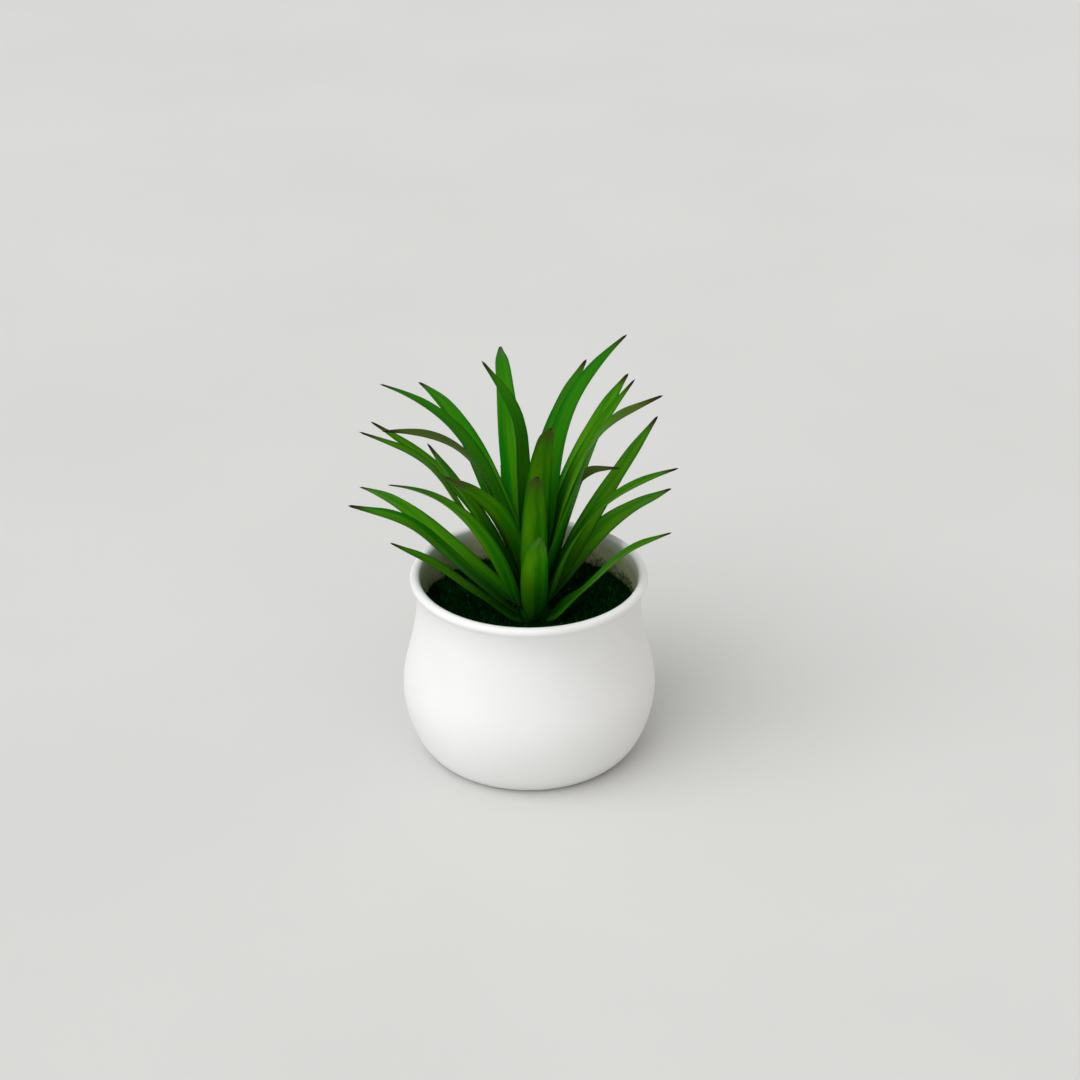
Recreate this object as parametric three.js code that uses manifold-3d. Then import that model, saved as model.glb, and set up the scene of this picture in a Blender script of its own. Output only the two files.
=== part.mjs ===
// Potted ponytail palm: a small indoor plant of arching strap leaves round one short stem,
// standing in a round-bellied white pot with a rolled lip.
// Millimetres, +Z up. The origin is the middle of the pot's foot, on the surface it stands on.
// -Y is the front of the plant. The plant stands a little in front of the pot's axis.

import * as THREE from 'three';
import { mergeVertices } from 'three/addons/utils/BufferGeometryUtils.js';
import Module from 'manifold-3d';

const wasm = await Module();
wasm.setup();

// ---------------------------------------------------------------- driving dimensions

const GAP = 0.3; // left between pieces that touch

// The pot, from its foot to its lip.
const FOOT_RADIUS = 31.5;
const BELLY_RADIUS = 40;
const BELLY_HEIGHT = 21.5;
const NECK_RADIUS = 34.9;
const NECK_HEIGHT = 52;
const LIP_RADIUS = 35.5; // to the middle of the rolled bead
const LIP_HEIGHT = 58.9;
const BEAD_RADIUS = 1.6;
const WALL = 2;
const FLOOR = 2.5;

// The moss cover, a shallow dish, and the foam plug under it.
const MOSS_RIM_HEIGHT = 48.2;
const MOSS_DISH = 2; // how much lower the middle lies than the rim
const MOSS_UNDERSIDE = 43.8;
const PLUG_TOP = MOSS_UNDERSIDE - GAP;

// The stem and the crown that carries the lowest leaves.
const STEM_X = 1.5;
const STEM_Y = -4;
const STALK_RADIUS = 2.2;
const STALK_FOOT = 15;
const CROWN_RADIUS = 4.4;
const CROWN_BOTTOM = 45.5;
const CROWN_TOP = 49.5;
const STEM_SHOULDER = 55; // the crown has narrowed to the stalk's radius here
const STEM_TIP_RADIUS = 1.6;
const STEM_TIP = 69;

// What all leaves share.
const LEAF_THICKNESS = 0.7; // along the middle of the blade, at its root
const TIP_THICKNESS = 0.35;
const LEAF_CHANNEL = 0.2; // how far the margins stand up, as a share of the half width
const ROOT_WIDTH = 0.4; // width at the stem, as a share of the full width
const SHOULDER = 0.22; // share of the length at which the full width is reached
const TAPER_START = 0.3;
const TAPER_POWER = 1.7;
const ROOT_RISE = 30; // a leaf leaves the stem at this angle and turns up in its first millimetres
const LOW_SEAT = 51; // up to this height the turn is as slow as it gets
const SLOW_TURN = 3; // length over which a low leaf turns up
const TURN_LOSS = 0.153; // how much of that length is lost with each millimetre of height

// How a leaf curves: where along its length the bend starts and where it ends.
const EARLY = [-0.1, 0.85];
const EVEN = [0, 1.1];
const MIDWAY = [0.35, 1];
const LATE = [0.55, 0.9];

const BROAD = 8.2;
const NARROW = 6;

// The leaves, whorl by whorl from the moss up. Angles are in degrees and lengths in millimetres:
// [azimuth, seat height, rise at the root, rise at the tip, bend, sideways sweep, length, width,
// twist]. Azimuth 0 is to the right and -90 to the front.
const WHORLS = {
  lower: [
    [-155, 47, 42, 24, LATE, -34, 50, NARROW, -20],
    [-20, 47, 50, 26, LATE, 12, 52, NARROW, 18],
    [-90, 47.5, 69, 34, EARLY, 3, 86, BROAD, -6],
    [100, 48, 45, -5, EVEN, 0, 62, BROAD, 0],
    [-165, 48.5, 48, 12, LATE, -20, 67, BROAD, -22],
    [150, 49.5, 24, -14, MIDWAY, -28, 78, BROAD, 0],
    [45, 50, 46, -7, EARLY, 10, 70, BROAD, 8],
    [-90, 50.5, 86, 30, EVEN, 2, 82, BROAD, -2],
  ],
  outer: [
    [-140, 51, 70, 25, EVEN, 14, 88, BROAD, 25],
    [30, 52, 59, 41, EVEN, 10, 67, BROAD, 12],
    [-20, 53, 77, 24, EVEN, 3, 69, BROAD, 18],
    [112, 53, 56, 5, EVEN, 0, 56, BROAD, 0],
    [-165, 53.5, 62, 28, LATE, -2, 82, BROAD, -12],
    [80, 54, 58, 5, EVEN, 0, 66, BROAD, 0],
    [172, 54.5, 69, 27, EVEN, -7, 74, BROAD, -10],
  ],
  inner: [
    [-154, 56.5, 67, 56, EARLY, 26, 72, BROAD, 12],
    [62, 56.5, 55, 8, EVEN, 4, 84, BROAD, 4],
    [30, 57.5, 74, -10, LATE, -5, 51, NARROW, 4],
    [-133, 58.5, 80, 36, EARLY, 20, 75, BROAD, 35],
    [-32, 59, 73, 33, LATE, 12, 84, BROAD, 28],
    [107, 60, 50, -8, LATE, -16, 91, BROAD, -10],
  ],
  upper: [
    [-80, 61, 88, 30, EVEN, -5, 84, BROAD, 0],
    [8, 61.5, 80, 50, EVEN, 8, 70, BROAD, 12],
    [-154, 62, 70, 14, MIDWAY, 7, 82, NARROW, -18],
    [128, 61.5, 48, -2, MIDWAY, -9, 80, BROAD, -5],
    [149, 62.5, 65, 14, MIDWAY, 14, 77, BROAD, 0],
    [84, 63, 56, 11, EARLY, -14, 86, BROAD, 4],
    [36, 64.5, 82, 24, MIDWAY, 5, 81, BROAD, 5],
    [155, 66, 88, 46, LATE, -8, 68, BROAD, -8],
  ],
};

// Resolution.
const ROUND_SIDES = 48;
const SIDE_STEPS = 14;
const BEAD_STEPS = 7;
const STEM_SIDES = 20;
const LEAF_RINGS = 14;
const LEAF_SIDES = 8;
const RING_CROWDING = 1.4; // above 1, a leaf's rings lie closer together near its root
const SPINE_STEPS = 60;

// ---------------------------------------------------------------- materials

const potMaterial = new THREE.MeshStandardMaterial({ color: 0xf0efec, roughness: 0.5, metalness: 0 });
const leafMaterial = new THREE.MeshStandardMaterial({ color: 0x216807, roughness: 0.45, metalness: 0 });
const stemMaterial = new THREE.MeshStandardMaterial({ color: 0x164a0c, roughness: 0.5, metalness: 0 });
const mossMaterial = new THREE.MeshStandardMaterial({ color: 0x0c2410, roughness: 1, metalness: 0 });
const foamMaterial = new THREE.MeshStandardMaterial({ color: 0x5c5a3c, roughness: 0.9, metalness: 0 });

// ---------------------------------------------------------------- helpers

const radians = THREE.MathUtils.degToRad;

/** Turns a profile of [radius, height] pairs about the Z axis into a closed body. */
function turned(profile, sides) {
  const points = profile.map(([radius, height]) => new THREE.Vector2(radius, height));
  const geometry = new THREE.LatheGeometry(points, sides);
  geometry.rotateX(Math.PI / 2);
  return geometry;
}

/** Makes a manifold solid of a closed three.js geometry. */
function toSolid(geometry) {
  const bare = geometry.clone();
  bare.deleteAttribute('normal');
  bare.deleteAttribute('uv');
  const merged = mergeVertices(bare, 1e-4);
  return new wasm.Manifold(new wasm.Mesh({
    numProp: 3,
    vertProperties: new Float32Array(merged.attributes.position.array),
    triVerts: new Uint32Array(merged.index.array),
  }));
}

/** Makes a three.js geometry of a manifold solid. */
function toGeometry(solid) {
  const mesh = solid.getMesh();
  const geometry = new THREE.BufferGeometry();
  geometry.setAttribute('position', new THREE.BufferAttribute(mesh.vertProperties, 3));
  geometry.setIndex(new THREE.BufferAttribute(mesh.triVerts, 1));
  geometry.computeVertexNormals();
  return geometry;
}

/** Cuts a round upright hole at the stem's place out of a turned body. */
function boredForStem(geometry, radius, bottom, top) {
  const drill = new THREE.CylinderGeometry(radius, radius, top - bottom, STEM_SIDES);
  drill.rotateX(Math.PI / 2);
  drill.translate(STEM_X, STEM_Y, (top + bottom) / 2);
  return toGeometry(toSolid(geometry).subtract(toSolid(drill)));
}

/** Samples a smooth curve through [radius, height] points. */
function smoothProfile(points, count) {
  const curve = new THREE.SplineCurve(points.map(([radius, height]) => new THREE.Vector2(radius, height)));
  return curve.getSpacedPoints(count).map((point) => [point.x, point.y]);
}

/** Points of an arc in the profile plane, from one angle to another, both in degrees. */
function arc(radius, centreRadius, centreHeight, from, to, count) {
  return Array.from({ length: count + 1 }, (_, step) => {
    const angle = radians(from + ((to - from) * step) / count);
    return [centreRadius + radius * Math.cos(angle), centreHeight + radius * Math.sin(angle)];
  });
}

function mesh(name, geometry, material) {
  const piece = new THREE.Mesh(geometry, material);
  piece.name = name;
  return piece;
}

// ---------------------------------------------------------------- the pot

/** The pot's side between the foot's corner and the underside of the lip, from the foot up. */
function potSide(inset) {
  return smoothProfile([
    [FOOT_RADIUS + 1.3 - inset, 0.8],
    [FOOT_RADIUS + 3.2 - inset, 3],
    [FOOT_RADIUS + 5.3 - inset, 7],
    [BELLY_RADIUS - 0.9 - inset, 14.2],
    [BELLY_RADIUS - inset, BELLY_HEIGHT],
    [BELLY_RADIUS - 0.8 - inset, 28.3],
    [BELLY_RADIUS - 2.6 - inset, 35.4],
    [NECK_RADIUS + 1 - inset, 42.5],
    [NECK_RADIUS + 0.1 - inset, 49],
    [NECK_RADIUS - inset, NECK_HEIGHT],
    [NECK_RADIUS + 0.1 - inset, 56.2],
  ], SIDE_STEPS);
}

/** Radius of the pot's inner wall at a height, between the belly and the lip. */
function innerRadiusAt(height) {
  const side = potSide(WALL);
  const above = side.findIndex(([, z]) => z > height);
  const [r0, z0] = side[above - 1];
  const [r1, z1] = side[above];
  return r0 + ((r1 - r0) * (height - z0)) / (z1 - z0);
}

function buildPot() {
  const inner = potSide(WALL).filter(([, z]) => z > FLOOR + 1.5);
  const profile = [
    [0, 0],
    [FOOT_RADIUS - 0.4, 0],
    ...potSide(0),
    ...arc(BEAD_RADIUS, LIP_RADIUS, LIP_HEIGHT, -70, 190, BEAD_STEPS),
    ...inner.reverse(),
    [FOOT_RADIUS + 1, FLOOR + 0.4],
    [FOOT_RADIUS - 1, FLOOR],
    [0, FLOOR],
  ];
  return mesh('pot', turned(profile, ROUND_SIDES), potMaterial);
}

// ---------------------------------------------------------------- what fills it

function buildPlug() {
  const bottom = FLOOR + GAP;
  const side = potSide(WALL + GAP).filter(([, z]) => z > bottom + 2 && z < PLUG_TOP - 1);
  const profile = [
    [0, bottom],
    [FOOT_RADIUS - 1.6, bottom],
    ...side,
    [innerRadiusAt(PLUG_TOP) - GAP, PLUG_TOP],
    [0, PLUG_TOP],
  ];
  const bored = boredForStem(turned(profile, ROUND_SIDES), STALK_RADIUS + GAP, STALK_FOOT - GAP, PLUG_TOP + 1);
  return mesh('foam_plug', bored, foamMaterial);
}

function buildMoss() {
  const rim = innerRadiusAt(MOSS_RIM_HEIGHT) - GAP;
  const dish = [1, 0.8, 0.6, 0.4, 0.2].map((share) => [
    rim * share,
    MOSS_RIM_HEIGHT - MOSS_DISH * (1 - share ** 2),
  ]);
  const profile = [
    [0, MOSS_UNDERSIDE],
    [innerRadiusAt(MOSS_UNDERSIDE) - GAP, MOSS_UNDERSIDE],
    ...dish,
    [0, MOSS_RIM_HEIGHT - MOSS_DISH],
  ];
  const bored = boredForStem(
    turned(profile, ROUND_SIDES), CROWN_RADIUS + GAP, MOSS_UNDERSIDE - 1, MOSS_RIM_HEIGHT + 1,
  );
  return mesh('moss_cover', bored, mossMaterial);
}

// ---------------------------------------------------------------- the stem

const STEM_PROFILE = [
  [0, STALK_FOOT],
  [STALK_RADIUS, STALK_FOOT + 1],
  [STALK_RADIUS, MOSS_UNDERSIDE],
  [CROWN_RADIUS, CROWN_BOTTOM],
  [CROWN_RADIUS, CROWN_TOP],
  [STALK_RADIUS, STEM_SHOULDER],
  [STEM_TIP_RADIUS, STEM_TIP - 0.8],
  [0, STEM_TIP],
];

/** Radius of the stem at a height above the crown's bottom. */
function stemRadiusAt(height) {
  const above = STEM_PROFILE.findIndex(([, z]) => z > height);
  const [r0, z0] = STEM_PROFILE[above - 1];
  const [r1, z1] = STEM_PROFILE[above];
  return r0 + ((r1 - r0) * (height - z0)) / (z1 - z0);
}

function buildStem() {
  const geometry = turned(STEM_PROFILE, STEM_SIDES);
  geometry.translate(STEM_X, STEM_Y, 0);
  return mesh('stem', geometry, stemMaterial);
}

// ---------------------------------------------------------------- the leaves

/** Share of a leaf's full width at a share of its length. */
function widthShare(along) {
  const rising = ROOT_WIDTH + (1 - ROOT_WIDTH) * Math.sin((Math.PI / 2) * Math.min(along / SHOULDER, 1));
  const tapering = Math.max((along - TAPER_START) / (1 - TAPER_START), 0);
  return rising * (1 - tapering ** TAPER_POWER);
}

/** Frames along a leaf's spine: the middle of the blade, its side and its upper face's direction. */
function leafSpine([azimuth, seat, rise, tipRise, [bendStart, bendEnd], sweep, length, , twist]) {
  const turnLength = SLOW_TURN - TURN_LOSS * Math.max(seat - LOW_SEAT, 0);
  const directionAt = (along) => {
    const stillToTurn = Math.max(rise - ROOT_RISE, 0) * Math.exp((-along * length) / turnLength);
    const bent = THREE.MathUtils.smoothstep(along, bendStart, bendEnd);
    const lift = radians(rise + (tipRise - rise) * bent - stillToTurn);
    const heading = radians(azimuth + sweep * along);
    return {
      tangent: new THREE.Vector3(
        Math.cos(lift) * Math.cos(heading), Math.cos(lift) * Math.sin(heading), Math.sin(lift),
      ),
      side: new THREE.Vector3(-Math.sin(heading), Math.cos(heading), 0),
    };
  };
  const rootRadius = stemRadiusAt(seat) + GAP + LEAF_THICKNESS / 2;
  const point = new THREE.Vector3(
    STEM_X + rootRadius * Math.cos(radians(azimuth)), STEM_Y + rootRadius * Math.sin(radians(azimuth)), seat,
  );
  return Array.from({ length: SPINE_STEPS + 1 }, (_, step) => {
    const along = step / SPINE_STEPS;
    const { tangent, side } = directionAt(along);
    const up = new THREE.Vector3().crossVectors(tangent, side);
    const turn = radians(twist * along);
    const frame = {
      middle: point.clone(),
      side: side.clone().multiplyScalar(Math.cos(turn)).addScaledVector(up, Math.sin(turn)),
      up: up.clone().multiplyScalar(Math.cos(turn)).addScaledVector(side, -Math.sin(turn)),
    };
    point.addScaledVector(directionAt(along + 0.5 / SPINE_STEPS).tangent, length / SPINE_STEPS);
    return frame;
  });
}

/** A strap leaf: a ball stretched along the spine, flattened to a blade with raised margins. */
function leafGeometry(leaf) {
  const width = leaf[7];
  const spine = leafSpine(leaf);
  const geometry = new THREE.SphereGeometry(1, LEAF_SIDES, LEAF_RINGS);
  const position = geometry.attributes.position;
  for (let index = 0; index < position.count; index += 1) {
    const ring = Math.floor(index / (LEAF_SIDES + 1));
    const around = ((index % (LEAF_SIDES + 1)) / LEAF_SIDES) * 2 * Math.PI;
    const along = (ring / LEAF_RINGS) ** RING_CROWDING;
    const at = along * SPINE_STEPS;
    const below = spine[Math.min(Math.floor(at), SPINE_STEPS - 1)];
    const above = spine[Math.min(Math.floor(at) + 1, SPINE_STEPS)];
    const part = at - Math.min(Math.floor(at), SPINE_STEPS - 1);
    const isPole = ring === 0 || ring === LEAF_RINGS;
    const halfWidth = isPole ? 0 : (width * widthShare(along)) / 2;
    const halfThickness = isPole ? 0 : (LEAF_THICKNESS + (TIP_THICKNESS - LEAF_THICKNESS) * along) / 2;
    const across = Math.cos(around);
    const lift = -halfThickness * Math.sin(around) + LEAF_CHANNEL * halfWidth * across * across;
    const point = below.middle.clone().lerp(above.middle, part);
    point.addScaledVector(below.side.clone().lerp(above.side, part).normalize(), halfWidth * across);
    point.addScaledVector(below.up.clone().lerp(above.up, part).normalize(), lift);
    position.setXYZ(index, point.x, point.y, point.z);
  }
  geometry.computeVertexNormals();
  return geometry;
}

function buildLeaves() {
  const leaves = new THREE.Group();
  for (const [whorl, rows] of Object.entries(WHORLS)) {
    rows.forEach((leaf, number) => {
      leaves.add(mesh(`${whorl}_leaf_${number + 1}`, leafGeometry(leaf), leafMaterial));
    });
  }
  return leaves;
}

// ---------------------------------------------------------------- the whole

const plant = new THREE.Group();
plant.add(buildPot(), buildPlug(), buildMoss(), buildStem(), buildLeaves());

export default plant;
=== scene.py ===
"""Looks for a small potted ponytail palm: soft strap leaves round a short stem, in a white pot.

The CAD frame gives each piece its place and main sizes, in metres, with +Z up and the front of the
plant towards -Y. The classes stand for the pot, its filling, the stem, the leaves and the studio.
"""
import bisect
import logging
import math
import random
from abc import ABC, abstractmethod
from dataclasses import dataclass
from enum import Enum
from typing import Any, Optional

import bmesh
import bpy
from bmesh.types import BMesh, BMVert
from bpy.types import Material, Mesh, Node, NodeSocket, NodeTree, Object
from mathutils import Matrix, Vector
from mathutils.bvhtree import BVHTree


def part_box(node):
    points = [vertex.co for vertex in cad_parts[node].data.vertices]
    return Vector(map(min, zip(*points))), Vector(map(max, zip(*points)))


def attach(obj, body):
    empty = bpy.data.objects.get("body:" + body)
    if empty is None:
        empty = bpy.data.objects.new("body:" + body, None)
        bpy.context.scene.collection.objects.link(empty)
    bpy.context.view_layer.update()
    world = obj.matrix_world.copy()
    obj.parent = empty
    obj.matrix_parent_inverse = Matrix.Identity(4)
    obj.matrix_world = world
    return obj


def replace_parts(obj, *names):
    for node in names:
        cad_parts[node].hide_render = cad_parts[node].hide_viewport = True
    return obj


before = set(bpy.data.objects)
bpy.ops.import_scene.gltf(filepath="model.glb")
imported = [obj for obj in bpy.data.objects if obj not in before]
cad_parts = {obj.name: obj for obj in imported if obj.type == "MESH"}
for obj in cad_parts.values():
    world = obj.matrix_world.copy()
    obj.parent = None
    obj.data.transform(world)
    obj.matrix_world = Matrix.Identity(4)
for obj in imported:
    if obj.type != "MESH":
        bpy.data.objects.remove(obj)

Stops = tuple[tuple[float, str], ...]  # places and hex colours of a colour ramp
LOG = logging.getLogger("ponytail_palm")
MM = 0.001
BODY = "root"
CAD_JOIN = 0.002 * MM  # corners of a CAD mesh's loose triangles that lie closer than this are one
SPUN_JOIN = 0.005 * MM  # the same at the seam and the poles of a spun body
POLE = 1e-4  # how near to the axis of a ball of radius 1 its poles lie
SMOOTH = {"interpolation_type": "SMOOTHSTEP"}
TIMES = {"operation": "MULTIPLY"}
TIMES_PLUS = {"operation": "MULTIPLY_ADD"}
LEVEL = 0.5  # upward part of a face's direction from which a tuft can stand on it
LEAF_LAYERS = ("along", "across", "browning", "burn", "tone")  # attributes that a blade's finish reads


# -------------------- shared helpers


def linear(code: str) -> tuple[float, float, float, float]:
    """Turns an sRGB hex colour to linear red, green, blue and an alpha of 1.

    Args:
        code: The colour, such as "#2A7306".

    Returns:
        The linear colour.
    """
    shares = [int(code[start:start + 2], 16) / 255 for start in (1, 3, 5)]
    light = [s / 12.92 if s <= 0.04045 else ((s + 0.055) / 1.055) ** 2.4 for s in shares]
    return (*light, 1.0)


def feed(tree: NodeTree, node: Node, inputs: dict[Any, Any]) -> None:
    """Gives a node's inputs what they need.

    Args:
        tree: The node tree.
        node: The node.
        inputs: By an input's name or number, a constant that is set on the input itself, a socket
            that is linked to it, or a node whose first output is.
    """
    for name, source in inputs.items():
        if isinstance(source, Node):
            source = source.outputs[0]
        if isinstance(source, NodeSocket):
            tree.links.new(source, node.inputs[name])
        else:
            node.inputs[name].default_value = source


def add_node(
    tree: NodeTree,
    kind: str,
    inputs: Optional[dict[Any, Any]] = None,
    settings: Optional[dict[str, Any]] = None,
    stops: Stops = (),
) -> Node:
    """Adds a shader node.

    Args:
        tree: The node tree that it goes into.
        kind: The node's type name, without the "ShaderNode" that it starts with.
        inputs: What its inputs get, as feed takes it.
        settings: Properties of the node itself.
        stops: Places and hex colours of a colour ramp.

    Returns:
        The new node.
    """
    node = tree.nodes.new(f"ShaderNode{kind}")
    for name, value in (settings or {}).items():
        setattr(node, name, value)
    feed(tree, node, inputs or {})
    for number, (place, code) in enumerate(stops):
        elements = node.color_ramp.elements
        stop = elements[number] if number < 2 else elements.new(place)
        stop.position = place
        stop.color = linear(code)
    return node


def as_mesh(name: str, shape: BMesh) -> Mesh:
    """Makes a mesh of a bmesh.

    Args:
        name: The mesh's name.
        shape: The bmesh, which is freed.

    Returns:
        The mesh.
    """
    mesh = bpy.data.meshes.new(name)
    shape.to_mesh(mesh)
    shape.free()
    return mesh


def in_scene(name: str, data: Any) -> Object:
    """Makes an object and links it to the scene.

    Args:
        name: The object's name.
        data: Its mesh, camera or light.

    Returns:
        The new object.
    """
    made = bpy.data.objects.new(name, data)
    bpy.context.scene.collection.objects.link(made)
    return made


def show(name: str, shape: BMesh, finish: "Finish", smooth: bool = True) -> Object:
    """Makes an object of a bmesh, gives it its finish and lets it ride on the plant.

    Args:
        name: The object's name.
        shape: The shape, which is freed.
        finish: What it is made of.
        smooth: Whether its faces are shaded smooth.

    Returns:
        The new object.
    """
    for face in shape.faces:
        face.smooth = smooth
    mesh = as_mesh(name, shape)
    mesh.materials.append(finish.material())
    piece = in_scene(name, mesh)
    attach(piece, BODY)
    LOG.info("%s: %d faces", name, len(mesh.polygons))
    return piece


def redress(node: str, finish: "Finish") -> None:
    """Gives a CAD node that keeps its shape its finish.

    Args:
        node: The node's name.
        finish: What it is made of.
    """
    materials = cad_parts[node].data.materials
    materials.clear()
    materials.append(finish.material())
    LOG.info("%s: kept from the CAD", node)


def merged_copy(node: str) -> BMesh:
    """Copies a CAD node's mesh and joins its loose triangles.

    Args:
        node: The node's name.

    Returns:
        The copy.
    """
    copy = bmesh.new()
    copy.from_mesh(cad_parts[node].data)
    bmesh.ops.remove_doubles(copy, verts=copy.verts, dist=CAD_JOIN)
    return copy


def curve_through(points: list[Vector], steps: int) -> list[Vector]:
    """A smooth curve through all points (Catmull-Rom), with some steps between each two.

    Args:
        points: Points of any dimension.
        steps: How many steps lie between two points.

    Returns:
        The finer list, which starts and ends where the points do.
    """
    padded = [points[0], *points, points[-1]]
    finer = []
    for before, start, end, after in zip(padded, padded[1:], padded[2:], padded[3:]):
        for step in range(steps):
            t = step / steps
            finer.append(0.5 * (
                2 * start + (end - before) * t
                + (2 * before - 5 * start + 4 * end - after) * t**2
                + (3 * start - before - 3 * end + after) * t**3
            ))
    return [*finer, points[-1].copy()]


def cad_outline(node: str, centre: Vector) -> list[Vector]:
    """Outline of a turned CAD node on its front meridian, from the bottom of its axis to the top.

    Args:
        node: The node's name.
        centre: A point on its axis.

    Returns:
        Points whose x is the distance from the axis and whose y is the height.
    """
    copy = merged_copy(node)
    sliver = 0.01 * MM
    meridian = {v for v in copy.verts if abs(v.co.x - centre.x) < sliver and v.co.y - centre.y < sliver}
    here = min((v for v in meridian if abs(v.co.y - centre.y) < sliver), key=lambda v: v.co.z)
    outline, seen = [], set()
    while here is not None:
        seen.add(here)
        outline.append(Vector((centre.y - here.co.y, here.co.z)))
        ahead = [e.other_vert(here) for e in here.link_edges if e.other_vert(here) in meridian - seen]
        here = min(ahead, key=lambda v: (v.co - here.co).length) if ahead else None
    copy.free()
    return outline


def spun(outline: list[Vector], centre: Vector, sides: int) -> BMesh:
    """Spins an outline about an upright axis into a closed body.

    Args:
        outline: Distances from the axis and heights.
        centre: A point on the axis.
        sides: How many sides the body has.

    Returns:
        The body.
    """
    body = bmesh.new()
    chain = [body.verts.new((centre.x + p.x, centre.y, p.y)) for p in outline]
    edges = [body.edges.new(pair) for pair in zip(chain, chain[1:])]
    bmesh.ops.spin(
        body, geom=[*chain, *edges], cent=(centre.x, centre.y, 0), axis=(0, 0, 1),
        angle=2 * math.pi, steps=sides, use_merge=True,
    )
    bmesh.ops.remove_doubles(body, verts=body.verts, dist=SPUN_JOIN)
    bmesh.ops.recalc_face_normals(body, faces=body.faces)
    return body


# -------------------- finishes


class Finish(ABC):
    """What a piece is made of and how its surface was made."""

    name: str
    slot: str

    def material(self) -> Material:
        """The finish's material, made the first time it is asked for."""
        return bpy.data.materials.get(self.name) or self._make()

    def _make(self) -> Material:
        """Makes the material.

        Returns:
            The material.
        """
        made = bpy.data.materials.new(self.name)
        made.use_nodes = True
        tree = made.node_tree
        feed(tree, tree.nodes["Principled BSDF"], self.surface(tree))
        return made

    @abstractmethod
    def surface(self, tree: NodeTree) -> dict[str, Any]:
        """Adds the nodes that colour and roughen the surface.

        Args:
            tree: The material's node tree.

        Returns:
            What the Principled shader's inputs get, as feed takes it.
        """


@dataclass(frozen=True)
class MouldedMelamine(Finish):
    """White melamine, press-moulded and left matte: an even white with a soft sheen.

    Inside, the wall above the moss is tinted olive in streaks: partly loose flock that has rubbed off,
    partly painted shade and painted green reflection of the leaves.
    """

    name: str = "melamine_moulded_matte_white"
    slot: str = "pot"
    white: str = "#F3F3F2"
    shade: str = "#EFEFEE"
    # Olive that stands partly for flock dust and partly for painted shade and painted green reflection of
    # the leaves on the inner wall.
    dust_and_shade: str = "#B4B77C"
    roughness: float = 0.42
    cloud_mm: float = 30.0  # size of the faint clouds in the white
    grain_mm: float = 0.5  # size of the mould's grain
    dust_and_shade_mm: float = 0.7  # width of the streaks in the olive tint of flock dust and painted shade
    dust_and_shade_streak: float = 3.0  # how many times longer than wide they are
    dust_and_shade_from_mm: float = 44.0  # under the moss, where the tint of dust and painted shade starts
    dust_and_shade_to_mm: float = 60.0  # where it ends, at the lip
    tint_outer_mm: float = 34.3  # radius outside which the wall has neither dust nor painted shade
    tint_inner_mm: float = 33.4  # radius inside which there is only the inner wall

    def dust_and_shade_share(self, tree: NodeTree, place: NodeSocket) -> Node:
        """Finds how thick the olive tint of dust and painted shade lies: on the inner wall only, in streaks,
        thinner at the lip.

        Args:
            tree: The material's node tree.
            place: Where the surface is.

        Returns:
            A node that gives 0 for none to 1 for most.
        """
        apart = add_node(tree, "SeparateXYZ", {"Vector": place})
        flat = add_node(tree, "CombineXYZ", {"X": apart.outputs["X"], "Y": apart.outputs["Y"]})
        radius = add_node(tree, "VectorMath", {0: flat}, {"operation": "LENGTH"}).outputs["Value"]
        inside = add_node(
            tree, "MapRange",
            {"Value": radius, "From Min": self.tint_outer_mm * MM, "From Max": self.tint_inner_mm * MM}, SMOOTH,
        )
        height = add_node(
            tree, "MapRange",
            {
                "Value": apart.outputs["Z"],
                "From Min": self.dust_and_shade_from_mm * MM, "From Max": self.dust_and_shade_to_mm * MM,
            },
        )
        near_moss = add_node(
            tree, "ValToRGB", {"Fac": height},
            stops=((0.0, "#000000"), (0.08, "#FFFFFF"), (0.75, "#F0F0F0"), (1.0, "#A0A0A0")),
        )
        streaked = add_node(tree, "Mapping", {"Vector": place, "Scale": (1.0, 1.0, 1 / self.dust_and_shade_streak)})
        specks = add_node(
            tree, "TexNoise", {"Vector": streaked, "Scale": 1 / (self.dust_and_shade_mm * MM), "Detail": 4.0},
        )
        patchy = add_node(
            tree, "MapRange", {"Value": specks, "From Min": 0.3, "From Max": 0.62, "To Min": 0.66},
        )
        thick = add_node(tree, "Math", {0: inside, 1: near_moss}, TIMES)
        return add_node(tree, "Math", {0: thick, 1: patchy}, TIMES)

    def surface(self, tree: NodeTree) -> dict[str, Any]:
        """Clouds the white a little, tints the inner wall olive with dust and painted shade and adds the
        mould's fine grain.

        Args:
            tree: The material's node tree.

        Returns:
            What the shader's inputs get.
        """
        place = add_node(tree, "TexCoord").outputs["Object"]
        cloud = add_node(
            tree, "TexNoise", {"Vector": place, "Scale": 1 / (self.cloud_mm * MM), "Detail": 3.0},
        )
        white = add_node(tree, "ValToRGB", {"Fac": cloud}, stops=((0.35, self.shade), (0.65, self.white)))
        # Painted shade and painted green reflection of the leaves, mixed with flock dust, on the inner wall.
        dusted_and_shaded = add_node(
            tree, "MixRGB",
            {"Fac": self.dust_and_shade_share(tree, place), "Color1": white, "Color2": linear(self.dust_and_shade)},
        )
        sheen = add_node(
            tree, "MapRange",
            {"Value": cloud, "To Min": self.roughness - 0.04, "To Max": self.roughness + 0.06},
        )
        grain = add_node(
            tree, "TexNoise", {"Vector": place, "Scale": 1 / (self.grain_mm * MM), "Detail": 2.0},
        )
        bump = add_node(tree, "Bump", {"Height": grain, "Strength": 0.12, "Distance": 0.02 * MM})
        return {"Base Color": dusted_and_shaded, "Roughness": sheen, "IOR": 1.5, "Normal": bump}


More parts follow.
